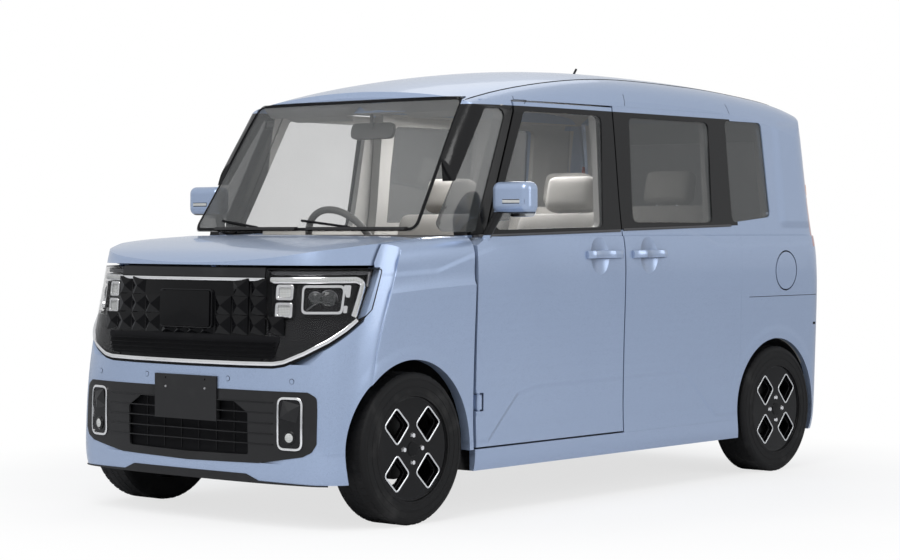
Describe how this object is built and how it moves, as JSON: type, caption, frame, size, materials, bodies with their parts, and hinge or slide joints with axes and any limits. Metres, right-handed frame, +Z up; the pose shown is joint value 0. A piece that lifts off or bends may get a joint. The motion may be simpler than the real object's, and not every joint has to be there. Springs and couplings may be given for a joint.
{
  "type": "kei car",
  "caption": "Tall kei car with hinged front doors, sliding rear doors, hood and tailgate, steered front wheels and a hollow glazed cabin.",
  "frame": {"origin": "on the ground under the middle of the car", "axes": "+Z up, the car faces -Y and its left side is +X"},
  "size_m": [1.84, 3.3928, 1.8142],
  "materials": {
    "paint": "pale blue metallic, glossy",
    "gloss_black": "gloss",
    "black_plastic": "matte",
    "chassis": "dark coated",
    "steel": "satin",
    "lamp": "clear lens",
    "red_lamp": "red lens",
    "glass": "clear",
    "dark_glass": "dark tint",
    "cabin_plastic": "grained",
    "fabric": "woven",
    "rubber": "matte",
    "alloy": "gloss black with machined edges"
  },
  "bodies": {
    "body": {"body_shell": "paint", "roof_panel": "paint", "floor_pan": "chassis", "front_bumper": "paint", "grille": "gloss_black", "headlamps": "lamp", "windscreen": "glass", "quarter_glass": "dark_glass", "fender_left": "paint", "fender_right": "paint", "sliding_door_left": "paint", "sliding_door_right": "paint", "sliding_door_glass": "dark_glass", "tail_lamps": "red_lamp", "rear_bumper": "paint", "dashboard": "cabin_plastic", "front_seats": "fabric", "rear_bench": "fabric", "engine": "steel", "front_subframe": "chassis", "rear_axle": "chassis", "fuel_tank": "cabin_plastic", "exhaust": "steel", "wipers": "black_plastic", "antenna": "black_plastic", "front_plate": "black_plastic"},
    "hood_lid": {"hood": "paint"},
    "door_left": {"front_door_left": "paint", "front_door_glass_left": "glass"},
    "door_right": {"front_door_right": "paint", "front_door_glass_right": "glass"},
    "gate": {"tailgate": "paint", "tailgate_glass": "dark_glass"},
    "fuel_flap": {"fuel_lid": "paint"},
    "steering": {"steering_wheel": "cabin_plastic"},
    "hub_left": {"knuckle_left": "steel"},
    "hub_right": {"knuckle_right": "steel"},
    "wheel_front_left": {"tyre_front_left": "rubber", "rim_front_left": "alloy"},
    "wheel_front_right": {"tyre_front_right": "rubber", "rim_front_right": "alloy"},
    "wheel_rear_left": {"tyre_rear_left": "rubber", "rim_rear_left": "alloy"},
    "wheel_rear_right": {"tyre_rear_right": "rubber", "rim_rear_right": "alloy"}
  },
  "joints": [
    {"name": "hood_lift", "type": "hinge", "parent": "body", "child": "hood_lid", "pos_m": [0, -1.105, 1.04], "axis": [-1, 0, 0], "range_deg": [0, 60]},
    {"name": "door_left_swing", "type": "hinge", "parent": "body", "child": "door_left", "pos_m": [0.712, -0.846, 0.65], "axis": [0, 0, -1], "range_deg": [0, 65]},
    {"name": "door_right_swing", "type": "hinge", "parent": "body", "child": "door_right", "pos_m": [-0.712, -0.846, 0.65], "axis": [0, 0, 1], "range_deg": [0, 65]},
    {"name": "gate_lift", "type": "hinge", "parent": "body", "child": "gate", "pos_m": [0, 1.513, 1.686], "axis": [1, 0, 0], "range_deg": [0, 80]},
    {"name": "fuel_flap_swing", "type": "hinge", "parent": "body", "child": "fuel_flap", "pos_m": [0.7285, 1.227, 0.903], "axis": [0, 0, -1], "range_deg": [0, 80]},
    {"name": "steer_left", "type": "hinge", "parent": "body", "child": "hub_left", "pos_m": [0.606, -1.24, 0.196], "axis": [-0.2389, 0, 0.971], "range_deg": [-32, 32]},
    {"name": "steer_right", "type": "hinge", "parent": "body", "child": "hub_right", "pos_m": [-0.606, -1.24, 0.196], "axis": [0.2389, 0, 0.971], "range_deg": [-32, 32]},
    {"name": "steering_turn", "type": "hinge", "parent": "body", "child": "steering", "pos_m": [-0.37, -0.43, 1.01], "axis": [0, 0.8829, 0.4695], "range_deg": [-512, 512]},
    {"name": "spin_front_left", "type": "hinge", "parent": "hub_left", "child": "wheel_front_left", "pos_m": [0.65, -1.24, 0.281], "axis": [1, 0, 0], "continuous": true},
    {"name": "spin_rear_left", "type": "hinge", "parent": "body", "child": "wheel_rear_left", "pos_m": [0.65, 1.255, 0.281], "axis": [1, 0, 0], "continuous": true},
    {"name": "spin_front_right", "type": "hinge", "parent": "hub_right", "child": "wheel_front_right", "pos_m": [-0.65, -1.24, 0.281], "axis": [1, 0, 0], "continuous": true},
    {"name": "spin_rear_right", "type": "hinge", "parent": "body", "child": "wheel_rear_right", "pos_m": [-0.65, 1.255, 0.281], "axis": [1, 0, 0], "continuous": true}
  ],
  "couplings": [
    {"joint": "steer_right", "follows": "steer_left", "ratio": 1},
    {"joint": "steering_turn", "follows": "steer_left", "ratio": 16}
  ]
}
